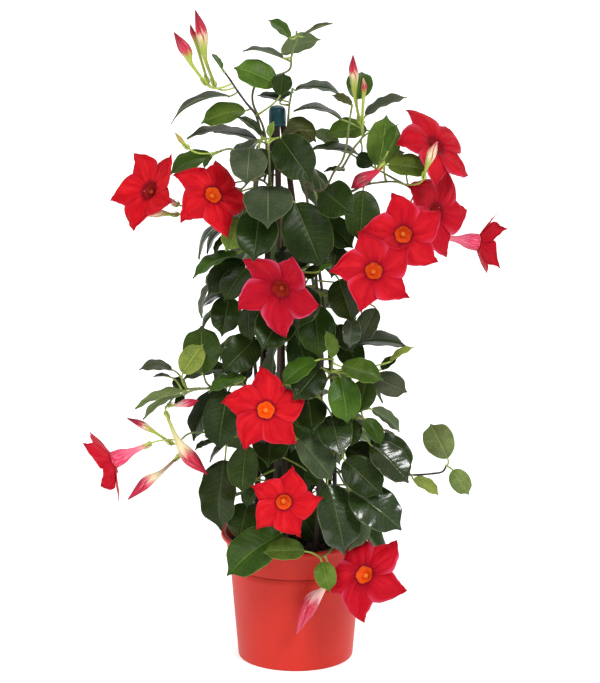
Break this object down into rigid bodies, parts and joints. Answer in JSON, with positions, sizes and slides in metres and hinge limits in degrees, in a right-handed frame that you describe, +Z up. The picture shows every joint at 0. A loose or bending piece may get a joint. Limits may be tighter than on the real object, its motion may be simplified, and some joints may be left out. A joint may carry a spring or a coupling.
{
  "type": "potted climbing mandevilla plant",
  "caption": "Flowering climbing mandevilla trained up tied canes in a round plastic pot, with glossy oval leaves, red funnel flowers and furled buds.",
  "frame": {"origin": "centre of the pot's underside, on the surface that it stands on", "axes": "+Z straight up along the pot's axis, the plant's longest way; -Y towards the side that faces the viewer in the picture; +X to the viewer's right"},
  "size_m": [0.4291, 0.232, 0.6783],
  "materials": {
    "pot": "satin injection-moulded orange-red plastic",
    "soil": "dark moist potting compost, lumpy and matt",
    "cane": "dark stained bamboo, matt",
    "cap": "soft dark teal plastic",
    "leaf": "waxy dark green leaves with pale veins on yellow-green stems",
    "petal": "velvety bright red petals with an orange throat",
    "bud": "furled petals striped cream, pink and dark red"
  },
  "bodies": {
    "root": {"pot": "pot", "soil": "soil", "cane_1": "cane", "cane_2": "cane", "cane_3": "cane", "cane_cap": "cap", "vine_front_left": "leaf", "vine_front_right": "leaf", "vine_right": "leaf", "vine_back_right": "leaf", "vine_back_left": "leaf", "vine_left": "leaf", "bloom_1": "petal", "bloom_2": "petal", "bloom_3": "petal", "bloom_4": "petal", "bloom_5": "petal", "bloom_6": "petal", "bloom_7": "petal", "bloom_8": "petal", "bloom_9": "petal", "bloom_10": "petal", "bloom_11": "petal", "bloom_12": "petal", "bud_top_left_tall": "bud", "bud_top_left_thin": "bud", "bud_top_left_short": "bud", "bud_top_right_tall": "bud", "bud_top_right_short": "bud", "bud_truss_right": "bud", "bloom_spent_right": "bud", "bud_truss_left_large": "bud", "bud_truss_left_low": "bud", "bud_truss_left_thin": "bud", "bud_truss_left_small": "bud", "bud_over_rim": "bud", "bud_left_pale": "bud", "bud_left_small": "bud"}
  },
  "joints": []
}
